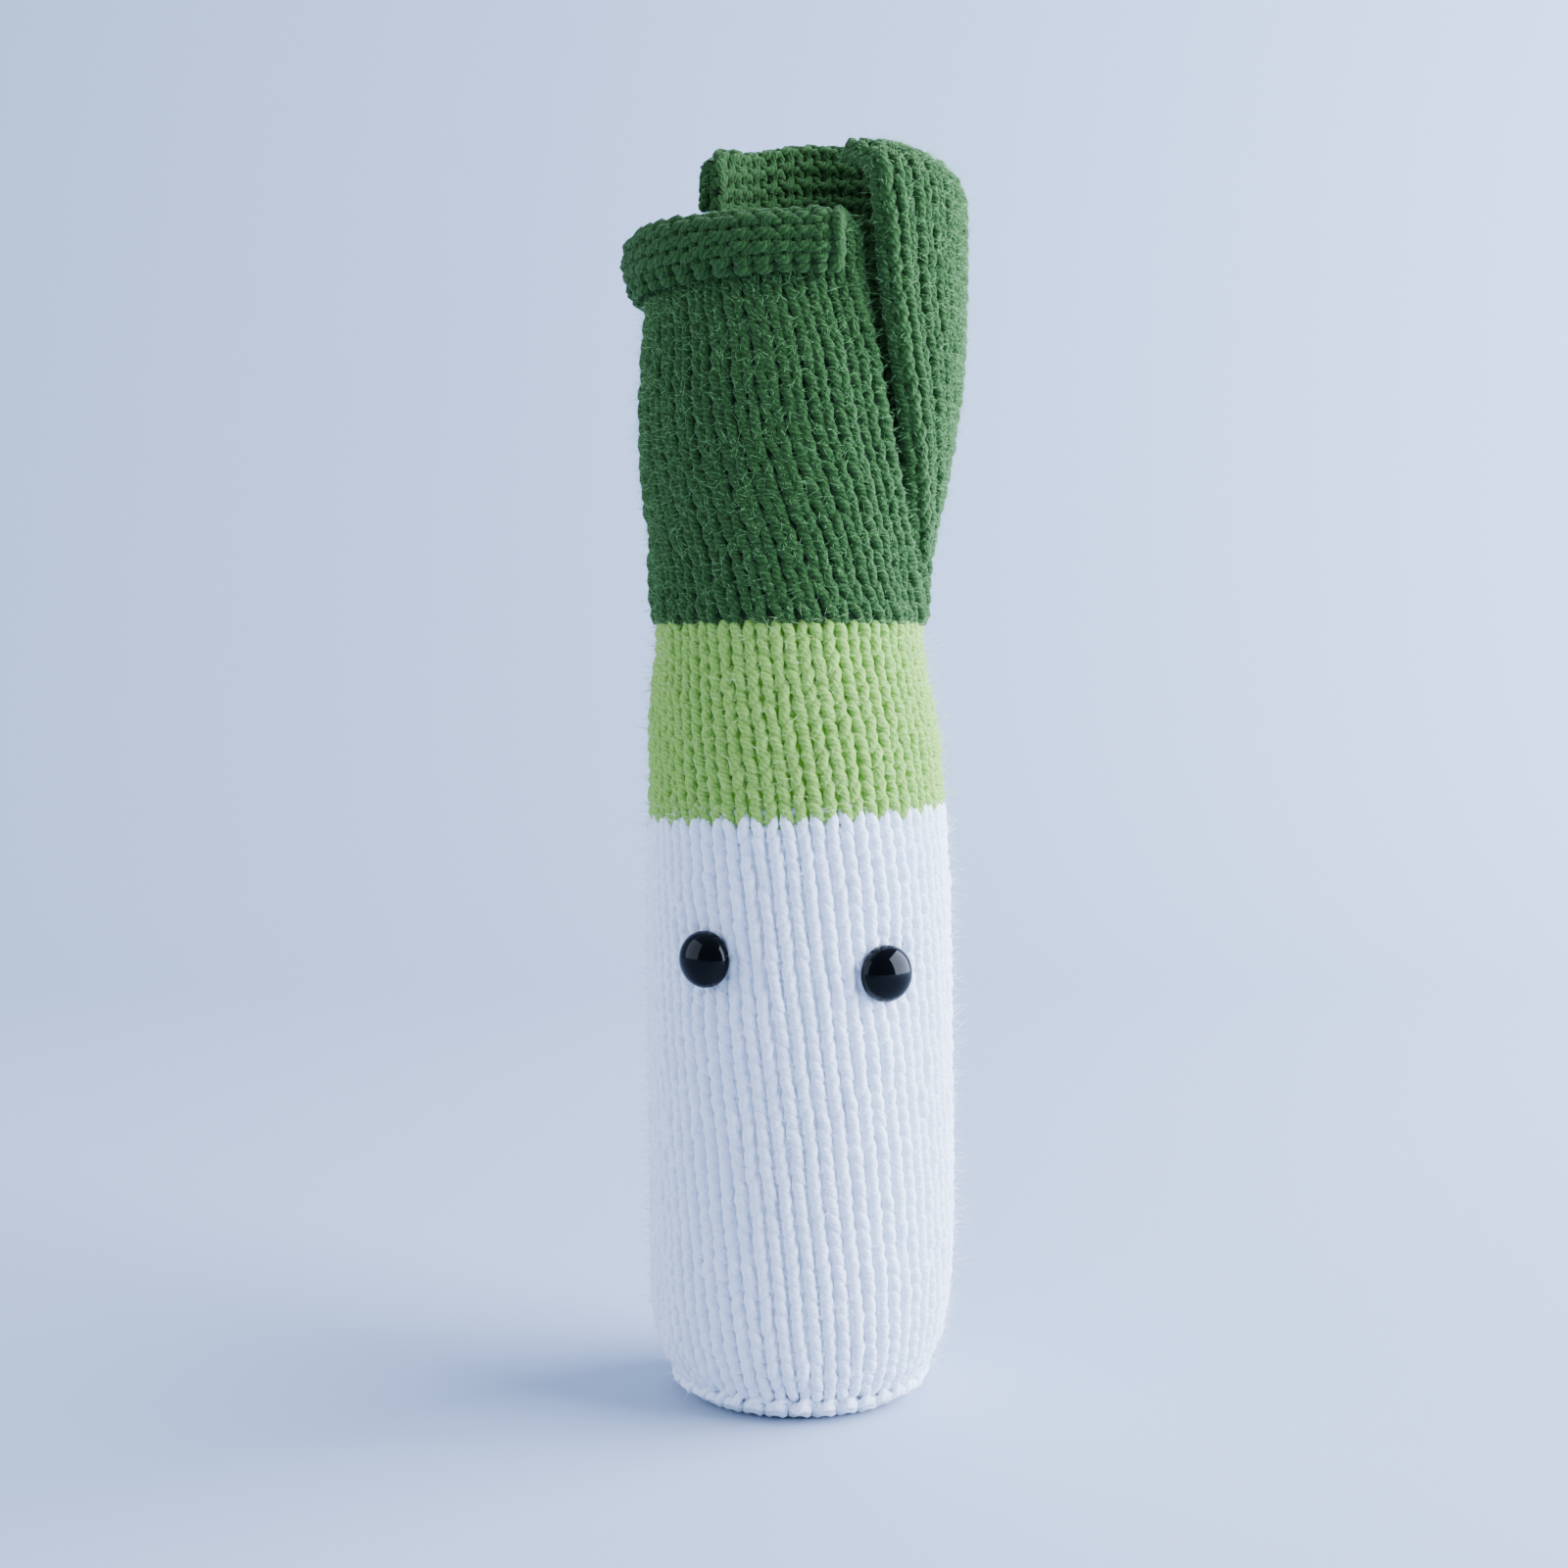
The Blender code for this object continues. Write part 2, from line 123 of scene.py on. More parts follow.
def smooth(t):
    """An even start and end between 0 and 1."""
    t = np.clip(t, 0.0, 1.0)
    return t * t * (3 - 2 * t)


def along(points, x):
    """The value at x on a smooth line through (x, value) pairs in millimetres, in metres."""
    xs, ys = (np.array(c) * MM for c in zip(*points))
    x = np.clip(x, xs[0], xs[-1])
    i = np.clip(np.searchsorted(xs, x, side="right") - 1, 0, len(xs) - 2)
    slopes = np.gradient(ys, xs)
    h = xs[i + 1] - xs[i]
    t = (x - xs[i]) / h
    a, b = (1 + 2 * t) * (1 - t) ** 2, t * (1 - t) ** 2
    c, d = t * t * (3 - 2 * t), t * t * (t - 1)
    return a * ys[i] + b * h * slopes[i] + c * ys[i + 1] + d * h * slopes[i + 1]


def lean(z):
    """How far the body's middle stands to the right at a height."""
    return along(BODY_LEAN, z)


def body_line(steps=400):
    """Points, outward normals and running length of the body's outer side, base edge first."""
    sides = np.array(BODY_SIDE) * MM
    key = np.concatenate([[0], np.cumsum(np.hypot(*np.diff(sides, axis=0).T))]) / MM
    marks = np.linspace(0, key[-1] * MM, steps)
    points = np.column_stack([along(list(zip(key, sides[:, k] / MM)), marks) for k in (0, 1)])
    tangents = np.gradient(points, axis=0)
    tangents /= np.linalg.norm(tangents, axis=1)[:, None]
    return points, np.column_stack([tangents[:, 1], -tangents[:, 0]]), marks


LINE, LINE_NORMALS, LINE_MARKS = body_line()


def mark_at(height):
    """Distance up the body's side at a height."""
    return float(np.interp(height, LINE[:, 1], LINE_MARKS))


def eye_dimple(turn, z):
    """How far the fabric is drawn in round the two eyes."""
    pulled = np.zeros(np.broadcast(turn, z).shape)
    for place, height in EYE_PLACES.values():
        swing = (turn - place + pi) % (2 * pi) - pi
        far = np.hypot(swing * BODY_RADIUS, z - height) / DIMPLE_REACH
        pulled = pulled + DIMPLE_DEPTH * np.exp(-far ** 2)
    return pulled


def body_spot(turn, mark, depth):
    """Points of the body: turn from the front towards +X, distance up its side, depth outwards."""
    r, z, nr, nz = (np.interp(mark, LINE_MARKS, line[:, k])
                    for line in (LINE, LINE_NORMALS) for k in (0, 1))
    depth = depth - eye_dimple(turn, z)
    r, z = r + nr * depth, z + nz * depth
    return np.stack([lean(z) + r * np.sin(turn), -r * np.cos(turn), z], axis=-1)


def leaf_plan(start, end, radius, curls, count):
    """Middle line of a leaf seen from above, side edges curled inwards: points, normals, length."""
    side = 1 if end > start else -1
    reach = [(EDGE_CURL_RADIUS + FABRIC / 2) * np.sin(min(c, pi / 2)) for c in curls]
    turns = np.linspace(start + side * reach[0] / radius(start), end - side * reach[1] / radius(end), 120)
    hoop = np.column_stack([radius(turns) * np.sin(turns), -radius(turns) * np.cos(turns)])
    ends = []
    for edge, curl in ((0, curls[0]), (-1, curls[1])):
        step = hoop[1] - hoop[0] if edge == 0 else hoop[-1] - hoop[-2]
        tangent = step / np.linalg.norm(step) * (-1 if edge == 0 else 1)
        inward = -hoop[edge] / np.linalg.norm(hoop[edge])
        swing = np.linspace(0, curl, 12)[1:, None] if curl > 0.01 else np.zeros((0, 1))
        ends.append(hoop[edge] + EDGE_CURL_RADIUS * (tangent * np.sin(swing)
                                                     + inward * (1 - np.cos(swing))))
    path = np.vstack([ends[0][::-1], hoop, ends[1]])
    tangents = np.gradient(path, axis=0)
    tangents /= np.linalg.norm(tangents, axis=1)[:, None]
    normals = np.column_stack([tangents[:, 1], -tangents[:, 0]]) * side
    length = np.concatenate([[0], np.cumsum(np.linalg.norm(np.diff(path, axis=0), axis=1))])
    at = np.linspace(0, length[-1], count)
    return np.column_stack([np.interp(at, length, c) for c in (*path.T, *normals.T)]), length[-1]


def front_leaf(z):
    """Angles of the front leaf's two edges at a height, and its radius at an angle."""
    rise = smooth((z - LEAF_BOTTOM) / (30 * MM))
    tuck = FRONT_LEAN_IN * smooth((z - 162 * MM) / (22 * MM))

    def radius(turn):
        high = (23.3 + 2.5 * np.exp(-(((turn + radians(88)) / radians(50)) ** 2))) * MM
        drawn = tuck * np.exp(-(((turn + radians(10)) / radians(75)) ** 2))
        return 22.6 * MM * (1 - rise) + high * rise - drawn - FABRIC / 2

    start = radians(24 + 58 * np.exp(-(z - 128 * MM) / (27 * MM)))
    return start, radians(-98 - 42 * smooth((z - 132 * MM) / (35 * MM))), radius


def back_leaf(z):
    """The same for the back leaf, which runs from the front right round to the left behind."""
    shape = [(20, 25.0), (60, 27.0), (90, 27.6), (135, 25.4), (180, 21.6), (215, 18.2), (245, 16.6)]
    degrees, sizes = zip(*shape)

    def radius(turn):
        high = np.interp(turn, np.radians(degrees), sizes) * MM
        rise = smooth((z - LEAF_BOTTOM) / ((46 - 30 * smooth((turn - pi) / radians(50))) * MM))
        return 22.6 * MM * (1 - rise) + high * rise - FABRIC / 2

    start = np.interp(z / MM, *zip(*BACK_EDGE))
    return radians(start), radians(259 - 17 * smooth((z - LEAF_BOTTOM) / (20 * MM))), radius


def rim(leaf, u):
    """Height where the rim begins to bend, then length and outward turn of its two arcs."""
    places, shapes = zip(*(FRONT_RIM if leaf is front_leaf else BACK_RIM))
    at = np.interp(u, places, np.arange(len(places)))
    low = np.minimum(at.astype(int), len(places) - 2)
    share = smooth(at - low)[..., None]
    shapes = np.array(shapes)
    mixed = shapes[low] * (1 - share) + shapes[low + 1] * share
    start, first, turn, second, more = np.moveaxis(mixed, -1, 0)
    return start * MM, first * MM, np.radians(turn), second * MM, np.radians(more)


def arc(length, start, turn):
    """Outward and upward run of an arc whose direction starts at an angle from upright."""
    turn = np.where(np.abs(turn) < 1e-5, 1e-5, turn)
    return (length / turn * (np.cos(start) - np.cos(start + turn)),
            length / turn * (np.sin(start + turn) - np.sin(start)))


class LeafSurface:
    """A leaf's middle layer, looked up at u across it and v up it, where v over 1 is the rim."""

    LEVELS = 90
    ACROSS = 240

    def __init__(self, leaf):
        self.leaf = leaf
        self.top = max(rim(leaf, np.linspace(0, 1, 50))[0])
        plans = []
        for z in np.linspace(LEAF_BOTTOM, self.top, self.LEVELS):
            start, end, radius = leaf(z)
            base = smooth((z - LEAF_BOTTOM) / (12 * MM))
            opening = smooth((z - 168 * MM) / (16 * MM)) if leaf is front_leaf else 0
            edge_curl = radians(100 - 60 * opening)
            fade = 1 - smooth((z - 150 * MM) / (30 * MM))
            curls = (edge_curl * base, radians(90) * base * fade)
            plans.append(leaf_plan(start, end, radius, curls, self.ACROSS))
        self.grid = np.array([p[0] for p in plans])
        self.widths = np.array([p[1] for p in plans])

    def plan_spot(self, u, z):
        """Place and outward direction on the middle line at a height, both flat."""
        row = np.clip((z - LEAF_BOTTOM) / (self.top - LEAF_BOTTOM), 0, 1) * (self.LEVELS - 1)
        column = u * (self.ACROSS - 1)
        i, j = (np.minimum(a.astype(int), n - 2) for a, n in ((row, self.LEVELS), (column, self.ACROSS)))
        a, b = (row - i)[..., None], (column - j)[..., None]
        g = self.grid
        near = g[i, j] * (1 - a) + g[i + 1, j] * a
        far = g[i, j + 1] * (1 - a) + g[i + 1, j + 1] * a
        plan = near * (1 - b) + far * b
        return plan[..., :2], plan[..., 2:] / np.linalg.norm(plan[..., 2:], axis=-1)[..., None]

    def spot(self, u, v, depth):
        """Points of the leaf, with depth towards its outer face."""
        u, v, depth = np.broadcast_arrays(np.clip(u, 0, 1), v, depth)
        height, first, turn, second, more = rim(self.leaf, u)
        z = LEAF_BOTTOM + (height - LEAF_BOTTOM) * np.clip(v, None, 1.0)
        place, normal = self.plan_spot(u, z)
        root, outward = self.plan_spot(np.clip(u, EDGE_CURL_SHARE, 1 - EDGE_CURL_SHARE / 2), z)
        run = np.maximum(v - 1.0, 0.0) * (first + second)
        share, rest = np.minimum(run / first, 1.0), np.maximum(run - first, 0.0)
        out, up = arc(run - rest, 0.0, turn * share)
        out2, up2 = arc(rest, turn * share, more * rest / second)
        bend = turn * share + more * rest / second
        across = np.stack([outward[..., 1], -outward[..., 0]], -1)
        offset = place - root + normal * depth[..., None]
        sideways, outwards = (offset * across).sum(-1), (offset * outward).sum(-1)
        if self.leaf is front_leaf:
            pull = np.maximum(1 - u / 0.3, 0) ** 2 * smooth((v - 1) / 0.3)
            sideways = sideways + CUFF_PULL * pull
        reach = out + out2 + outwards * np.cos(bend)
        flat = root + across * sideways[..., None] + outward * reach[..., None]
        rise = z + up + up2 - outwards * np.sin(bend)
        return np.stack([flat[..., 0] + lean(z), flat[..., 1], rise], axis=-1)

    def width_at(self, v):
        """The leaf's width along its curved plan."""
        z = LEAF_BOTTOM + (self.top - LEAF_BOTTOM) * min(v, 1.0)
        return float(np.interp(z, np.linspace(LEAF_BOTTOM, self.top, self.LEVELS), self.widths))


def new_piece(name, verts, faces, node, slot, uv=None):
    """A mesh piece that takes a CAD node's place; faces is a quad or triangle index array."""
    mesh = bpy.data.meshes.new(name)
    faces = np.asarray(faces, np.int32)
    count, corners = faces.shape
    mesh.vertices.add(len(verts))
    mesh.vertices.foreach_set("co", np.asarray(verts, np.float32).ravel())
    mesh.loops.add(count * corners)
    mesh.loops.foreach_set("vertex_index", faces.ravel())
    mesh.polygons.add(count)
    mesh.polygons.foreach_set("loop_start", np.arange(count, dtype=np.int32) * corners)
    if uv is not None:
        layer = mesh.uv_layers.new(name="yarn")
        layer.data.foreach_set("uv", np.asarray(uv, np.float32).ravel())
    mesh.update(calc_edges=True)
    mesh.validate()
    mesh.polygons.foreach_set("use_smooth", np.ones(len(mesh.polygons), bool))
    piece = bpy.data.objects.new(name, mesh)
    bpy.context.scene.collection.objects.link(piece)
    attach(piece, "root")
    if node:
        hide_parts(node)
    return piece


def loop_shape(stitches, points=LOOP_POINTS):
    """One course of stocking stitch as (across, up, out) along the yarn, from 0 to stitches."""
    t = np.linspace(0, 2 * pi * stitches, stitches * points, endpoint=False)
    return t / (2 * pi), np.sin(2 * t), -np.cos(t), -np.cos(2 * t)


def tube(centres, facing, radius, closed, sides=YARN_SIDES):
    """A yarn along centres: vertices, quads and corner UVs, u round it and v along it in centimetres.

    facing is a direction near each point's fabric normal; radius is one value for each point.
    """
    if closed:
        tangent = np.roll(centres, -1, 0) - np.roll(centres, 1, 0)
    else:
        tangent = np.gradient(centres, axis=0)
    tangent /= np.linalg.norm(tangent, axis=1)[:, None] + 1e-12
    side = np.cross(tangent, facing)
    side /= np.linalg.norm(side, axis=1)[:, None] + 1e-12
    front = np.cross(side, tangent)
    angles = 2 * pi * np.arange(sides) / sides
    ring = np.cos(angles)[None, :, None] * front[:, None] + np.sin(angles)[None, :, None] * side[:, None]
    verts = (centres[:, None] + ring * radius[:, None, None]).reshape(-1, 3)
    n = len(centres)
    steps = np.linalg.norm(np.diff(centres, axis=0, append=centres[:1]), axis=1)
    run = np.concatenate([[0], np.cumsum(steps)]) * 100
    rows = np.arange(n if closed else n - 1)
    i, k = np.meshgrid(rows, np.arange(sides), indexing="ij")
    i2, k2 = (i + 1) % n, (k + 1) % sides
    quads = np.stack([i * sides + k, i * sides + k2, i2 * sides + k2, i2 * sides + k], -1).reshape(-1, 4)
    u = np.stack([k, k + 1, k + 1, k], -1) / sides
    v = np.stack([run[i], run[i], run[i + 1], run[i + 1]], -1)
    return verts, quads, np.stack([u, v], -1).reshape(-1, 2)


def gather(parts):
    """Several (vertices, faces, uv) as one."""
    starts = np.cumsum([0] + [len(p[0]) for p in parts[:-1]])
    return (np.vstack([p[0] for p in parts]), np.vstack([p[1] + s for p, s in zip(parts, starts)]),
            np.vstack([p[2] for p in parts]))


def slow_noise(count, size, every):
    """Random values that drift along a yarn, closed end to end."""
    knots = RNG.normal(0, size, max(int(count / every), 4))
    at = np.arange(count) / count * len(knots)
    i = at.astype(int)
    f = smooth(at - i)
    return knots[i % len(knots)] * (1 - f) + knots[(i + 1) % len(knots)] * f


def facing_of(spot, *place):
    """The fabric's outward direction at each point."""
    a, b, depth = place
    out = spot(a, b, depth + 0.2 * MM) - spot(a, b, depth - 0.2 * MM)
    return out / (np.linalg.norm(out, axis=-1)[..., None] + 1e-12)


def course_tilt(turn, mark):
    """The courses stand a little higher on the right half way up, as where the colours change."""
    return 1.2 * MM * np.sin(turn) * np.exp(-(((mark - mark_at(98 * MM)) / (20 * MM)) ** 2))


def knit_tube(low, high, rows, loop):
    """Courses round the body from one mark on its side to another."""
    swing, tall, deep = loop
    across, sway, up, out = loop_shape(BODY_STITCHES)
    marks = np.linspace(low, high, rows + 1)
    pitch = marks[1] - marks[0]
    parts, centre_lines = [], []
    for j in range(rows):
        n = len(across)
        x = (across + swing * sway * (1 + slow_noise(n, 0.10, LOOP_DRIFT))
             + slow_noise(n, 0.02, LOOP_DRIFT))
        middle = marks[j] + pitch * (0.5 + slow_noise(n, 0.03, LOOP_DRIFT))
        mark = middle + pitch * tall * up + course_tilt(2 * pi * x / BODY_STITCHES, middle)
        turn = 2 * pi * x / BODY_STITCHES - WALE_SLANT * (mark - LINE_MARKS[-1] * 0.55) / (25 * MM)
        depth = (-BODY_YARN - deep + deep * out * (1 + slow_noise(n, 0.12, LOOP_DRIFT))
                 + slow_noise(n, 0.1 * MM, LOOP_DRIFT))
        if low < mark_at(SEAM_HEIGHT) + pitch:
            mark = np.maximum(mark, low - 0.35 * pitch)
        if high > mark_at(LIME_TOP) - pitch:
            mark = np.minimum(mark, high + 0.15 * pitch)
        centres = body_spot(turn, mark, depth)
        facing = facing_of(body_spot, turn, mark, depth)
        parts.append(tube(centres, facing, BODY_YARN * (1 + slow_noise(n, 0.06, PLY_DRIFT)), True))
        centre_lines.append((centres, facing))
    return gather(parts), centre_lines


def knit_leaf(surface, wall_rows, rim_rows, low_count, high_count):
    """A leaf knitted flat as one yarn to and fro, growing at its far edge."""
    swing, tall, deep = LEAF_LOOP
    centres, facings, radii = [], [], []
    rows = wall_rows + rim_rows
    for j in range(rows):
        share = smooth((j / wall_rows) / 0.75)
        count = low_count + (high_count - low_count) * share
        whole = int(round(count))
        across, sway, up, out = loop_shape(whole)
        n = len(across)
        x = (across + LEG_PAIRING * np.sin(2 * pi * across)
             + swing * sway * (1 + slow_noise(n, 0.10, LOOP_DRIFT)) + slow_noise(n, 0.03, LOOP_DRIFT))
        row = j + 0.5 + tall * up + slow_noise(n, 0.05, LOOP_DRIFT)
        row = np.clip(row, 0.02, rows)
        v = np.where(row < wall_rows, row / wall_rows, 1 + (row - wall_rows) / rim_rows)
        last = np.clip(x - (whole - 1), 0, 1)
        u = (x + last * (count - whole)) / count
        depth = (FABRIC / 2 - LEAF_YARN - deep + deep * out * (1 + slow_noise(n, 0.1, LOOP_DRIFT))
                 + slow_noise(n, 0.1 * MM, LOOP_DRIFT))
        edge = np.minimum(x, whole - x)
        # The edge stitches stand up as a cord, with a furrow beside them
        depth = depth + (0.35 * np.exp(-((edge - 0.5) / 0.6) ** 2)
                         - 0.5 * np.exp(-((edge - 1.6) / 0.4) ** 2)) * MM
        radii.append(LEAF_YARN * (1 + 0.14 * np.exp(-((edge - 0.5) / 0.7) ** 2)))
        place = (u, v, depth)
        line, face = surface.spot(*place), facing_of(surface.spot, *place)
        if j % 2:
            line, face = line[::-1], face[::-1]
        centres.append(line)
        facings.append(face)
    centres, facings = np.vstack(centres), np.vstack(facings)
    radius = np.concatenate(radii) * (1 + slow_noise(len(centres), 0.06, PLY_DRIFT))
    body = tube(centres, facings, radius, False)
    return cap_ends(body, len(centres)), [(centres, facings)]


def cap_ends(body, count, sides=YARN_SIDES):
    """Close an open yarn of six sides with two quads over each end."""
    verts, quads, uv = body
    caps = []
    for first in (0, (count - 1) * sides):
        ring = [first + k for k in range(sides)]
        ring = ring[::-1] if first == 0 else ring
        caps += [[ring[0], ring[1], ring[2], ring[3]], [ring[0], ring[3], ring[4], ring[5]]]
    return verts, np.vstack([quads, caps]), np.vstack([uv, np.zeros((len(caps) * 4, 2))])


def wall(spot, us, vs, outer, inner, loop):
    """A thin closed wall between two depths over a grid of places."""
    sheets = [spot(*np.meshgrid(us, vs, indexing="xy"), d) for d in (outer, inner)]
    rows, columns = len(vs), len(us)
    verts = np.vstack([s.reshape(-1, 3) for s in sheets])
    half = rows * columns
    wrap = columns if loop else columns - 1
    j, k = (a.ravel() for a in np.meshgrid(np.arange(rows - 1), np.arange(wrap), indexing="ij"))
    n = (k + 1) % columns
    front = np.stack([j * columns + k, j * columns + n, (j + 1) * columns + n, (j + 1) * columns + k], -1)
    faces = [front, front[:, ::-1] + half]
    k = np.arange(wrap)
    n = (k + 1) % columns
    top = (rows - 1) * columns
    faces.append(np.stack([k + half, n + half, n, k], -1))
    faces.append(np.stack([top + k, top + n, top + n + half, top + k + half], -1))
    if not loop:
        j = np.arange(rows - 1) * columns
        faces.append(np.stack([j + columns, j, j + half, j + columns + half], -1))
        e = j + columns - 1
        faces.append(np.stack([e, e + columns, e + columns + half, e + half], -1))
    return verts, np.vstack(faces)


def fuzz(name, lines, amount, slot, seed, width, stretch=1.0):
    """Fine stray fibres as slim closed needles, rooted in the yarn and bent one way or another."""
    rng = np.random.default_rng(seed)
    centres = np.vstack([c for c, _ in lines])
    facing = np.vstack([f for _, f in lines])
    tangent = np.gradient(centres, axis=0)
    tangent /= np.linalg.norm(tangent, axis=1)[:, None] + 1e-12
    pick = rng.integers(0, len(centres), amount)
    root, out, run = centres[pick], facing[pick], tangent[pick]
    side = np.cross(run, out)
    lift = rng.uniform(0.15, 1.0, amount)[:, None]
    aim = (out * lift + side * rng.normal(0, 0.75, amount)[:, None]
           + run * rng.normal(0, 0.75, amount)[:, None])
    aim /= np.linalg.norm(aim, axis=1)[:, None]
    long = np.where(rng.random(amount) < 0.3, rng.uniform(1.6, 3.2, amount),
                    rng.uniform(0.7, 1.5, amount))
    long = long[:, None] * stretch * MM
    bend = rng.normal(0, 0.45, (amount, 3))
    root = root + out * YARN * 0.55
    root[:, 2] = np.maximum(root[:, 2], 0.3 * MM)
    middle = root + aim * long * 0.5 + bend * long * 0.12
    tip = root + aim * long + bend * long * 0.5
    cross = np.cross(aim, rng.normal(0, 1, (amount, 3)))
    cross /= np.linalg.norm(cross, axis=1)[:, None]
    other = np.cross(aim, cross)
    thick = rng.uniform(0.7 * width, 1.3 * width, amount)[:, None]
    verts = np.empty((amount, 5, 3))
    verts[:, 0], verts[:, 4] = root, tip
    for k in range(3):
        ring = (cross * np.cos(2 * pi * k / 3) + other * np.sin(2 * pi * k / 3)) * thick
        verts[:, 1 + k] = middle + ring
    verts[..., 2] = np.maximum(verts[..., 2], 0.02 * MM)
    pattern = [(0, 2, 1), (0, 3, 2), (0, 1, 3), (4, 1, 2), (4, 2, 3), (4, 3, 1)]
    faces = (np.arange(amount)[:, None, None] * 5 + np.array(pattern)[None]).reshape(-1, 3)
    return new_piece(name, verts.reshape(-1, 3), faces, None, slot)


def linear(hex_colour):
    """An sRGB hex colour as linear RGBA."""
    channels = [int(hex_colour[k:k + 2], 16) / 255 for k in (1, 3, 5)]
    return (*(c / 12.92 if c <= 0.04045 else ((c + 0.055) / 1.055) ** 2.4 for c in channels), 1.0)


def add(tree, kind, links=(), **settings):
    """A shader node with its settings; links are (input, output socket) pairs."""
    node = tree.nodes.new(kind)
    for key, value in settings.items():
        name = key.replace("_", " ")
        socket = next((s for s in node.inputs if s.name.lower() == name.lower()), None)
        if socket is not None and hasattr(socket, "default_value"):
            socket.default_value = value
        else:
            setattr(node, key, value)
    for target, source in links:
        tree.links.new(node.inputs[target], source)
    return node


def fresh_material(name):
    """A material with one plain shader: the material, its node tree and the shader."""
    material = bpy.data.materials.new(name)
    material.use_nodes = True
    tree = material.node_tree
    tree.nodes.clear()
    shader = add(tree, "ShaderNodeBsdfPrincipled")
    output = add(tree, "ShaderNodeOutputMaterial")
    tree.links.new(output.inputs["Surface"], shader.outputs["BSDF"])
    return material, tree, shader


def yarn_material(name, light, groove_shade_and_streak_tone, halo, sheen, relief):
    """Spun acrylic yarn: a matt thread of four soft plies, with a halo of fine hair as its sheen.

    The plies show as slanted ridges with fibre streaks along them; relief is how deep those look.
    The colour runs from dark to light with random streaks of tone, and is darker in the grooves
    between the plies, which is painted shade.
    """
    material, tree, shader = fresh_material(name)
    uv = add(tree, "ShaderNodeUVMap", uv_map="yarn")
    split = add(tree, "ShaderNodeSeparateXYZ", [("Vector", uv.outputs["UV"])])
    around = add(tree, "ShaderNodeMath", [(0, split.outputs["X"])], operation="MULTIPLY")
    around.inputs[1].default_value = 4.0
    twist = add(tree, "ShaderNodeMath", [(0, split.outputs["Y"]), (2, around.outputs[0])],
                operation="MULTIPLY_ADD")
    twist.inputs[1].default_value = 12.5
    place = add(tree, "ShaderNodeTexCoord")
    wander = add(tree, "ShaderNodeTexNoise", [("Vector", place.outputs["Object"])],
                 Scale=330.0, Detail=2.0)
    shifted = add(tree, "ShaderNodeMath", [(0, wander.outputs["Fac"]), (2, twist.outputs[0])],
                  operation="MULTIPLY_ADD")
    shifted.inputs[1].default_value = 1.3
    turns = add(tree, "ShaderNodeMath", [(0, shifted.outputs[0])], operation="MULTIPLY")
    turns.inputs[1].default_value = 2 * pi
    wave = add(tree, "ShaderNodeMath", [(0, turns.outputs[0])], operation="SINE")
    ply = add(tree, "ShaderNodeMapRange", [("Value", wave.outputs[0])], From_Min=-1.0, From_Max=1.0)
    streak_place = add(tree, "ShaderNodeCombineXYZ",
                       [("X", shifted.outputs[0]), ("Y", split.outputs["Y"])])
    streaks = add(tree, "ShaderNodeTexNoise", [("Vector", streak_place.outputs["Vector"])],
                  Scale=5.0, Detail=4.0, Roughness=0.7)
    fibre = add(tree, "ShaderNodeTexNoise", [("Vector", place.outputs["Object"])],
                Scale=3200.0, Detail=2.0, Roughness=0.6)
    grain = add(tree, "ShaderNodeMath", [(0, streaks.outputs["Fac"]), (1, fibre.outputs["Fac"])],
                operation="ADD")
    height = add(tree, "ShaderNodeMath", [(0, ply.outputs["Result"]), (2, grain.outputs[0])],
                 operation="MULTIPLY_ADD")
    height.inputs[1].default_value = 0.8
    bump = add(tree, "ShaderNodeBump", [("Height", height.outputs[0])], Strength=relief, Distance=0.16 * MM)
    # Painted shade: the colour darkens in the grooves between the plies, mixed with random streaks of tone
    shade_and_streaks = add(tree, "ShaderNodeMath", [(0, ply.outputs["Result"]), (2, grain.outputs[0])],
                 operation="MULTIPLY_ADD")
    shade_and_streaks.inputs[1].default_value = 0.35
    blend = add(tree, "ShaderNodeMapRange", [("Value", shade_and_streaks.outputs[0])], From_Min=0.75, From_Max=1.5)
    ramp = add(tree, "ShaderNodeMix", [(0, blend.outputs["Result"])], data_type="RGBA")
    ramp.inputs[6].default_value = linear(groove_shade_and_streak_tone)
    ramp.inputs[7].default_value = linear(light)
    tree.links.new(shader.inputs["Base Color"], ramp.outputs[2])
    tree.links.new(shader.inputs["Normal"], bump.outputs["Normal"])
    shader.inputs["Roughness"].default_value = 0.9
    shader.inputs["Specular IOR Level"].default_value = 0.15
    shader.inputs["Sheen Weight"].default_value = sheen
    shader.inputs["Sheen Roughness"].default_value = 0.45
    shader.inputs["Sheen Tint"].default_value = linear(halo)
    return material


def cloth_material(name, colour, roughness=0.95):
    """The fabric behind the loops: matt, close-napped, in the shade between the yarns."""
    material, tree, shader = fresh_material(name)
    place = add(tree, "ShaderNodeTexCoord")
    nap = add(tree, "ShaderNodeTexNoise", [("Vector", place.outputs["Object"])], Scale=900.0, Detail=4.0)
    bump = add(tree, "ShaderNodeBump", [("Height", nap.outputs["Fac"])], Strength=0.6, Distance=0.3 * MM)
    tree.links.new(shader.inputs["Normal"], bump.outputs["Normal"])
    shader.inputs["Base Color"].default_value = linear(colour)
    shader.inputs["Roughness"].default_value = roughness
    shader.inputs["Specular IOR Level"].default_value = 0.2
    return material


def fibre_material(name, colour):
    """Loose acrylic fibre ends, too fine to show any pattern of their own."""
    material, _, shader = fresh_material(name)
    shader.inputs["Base Color"].default_value = linear(colour)
    shader.inputs["Roughness"].default_value = 0.6
    shader.inputs["Specular IOR Level"].default_value = 0.3
    return material


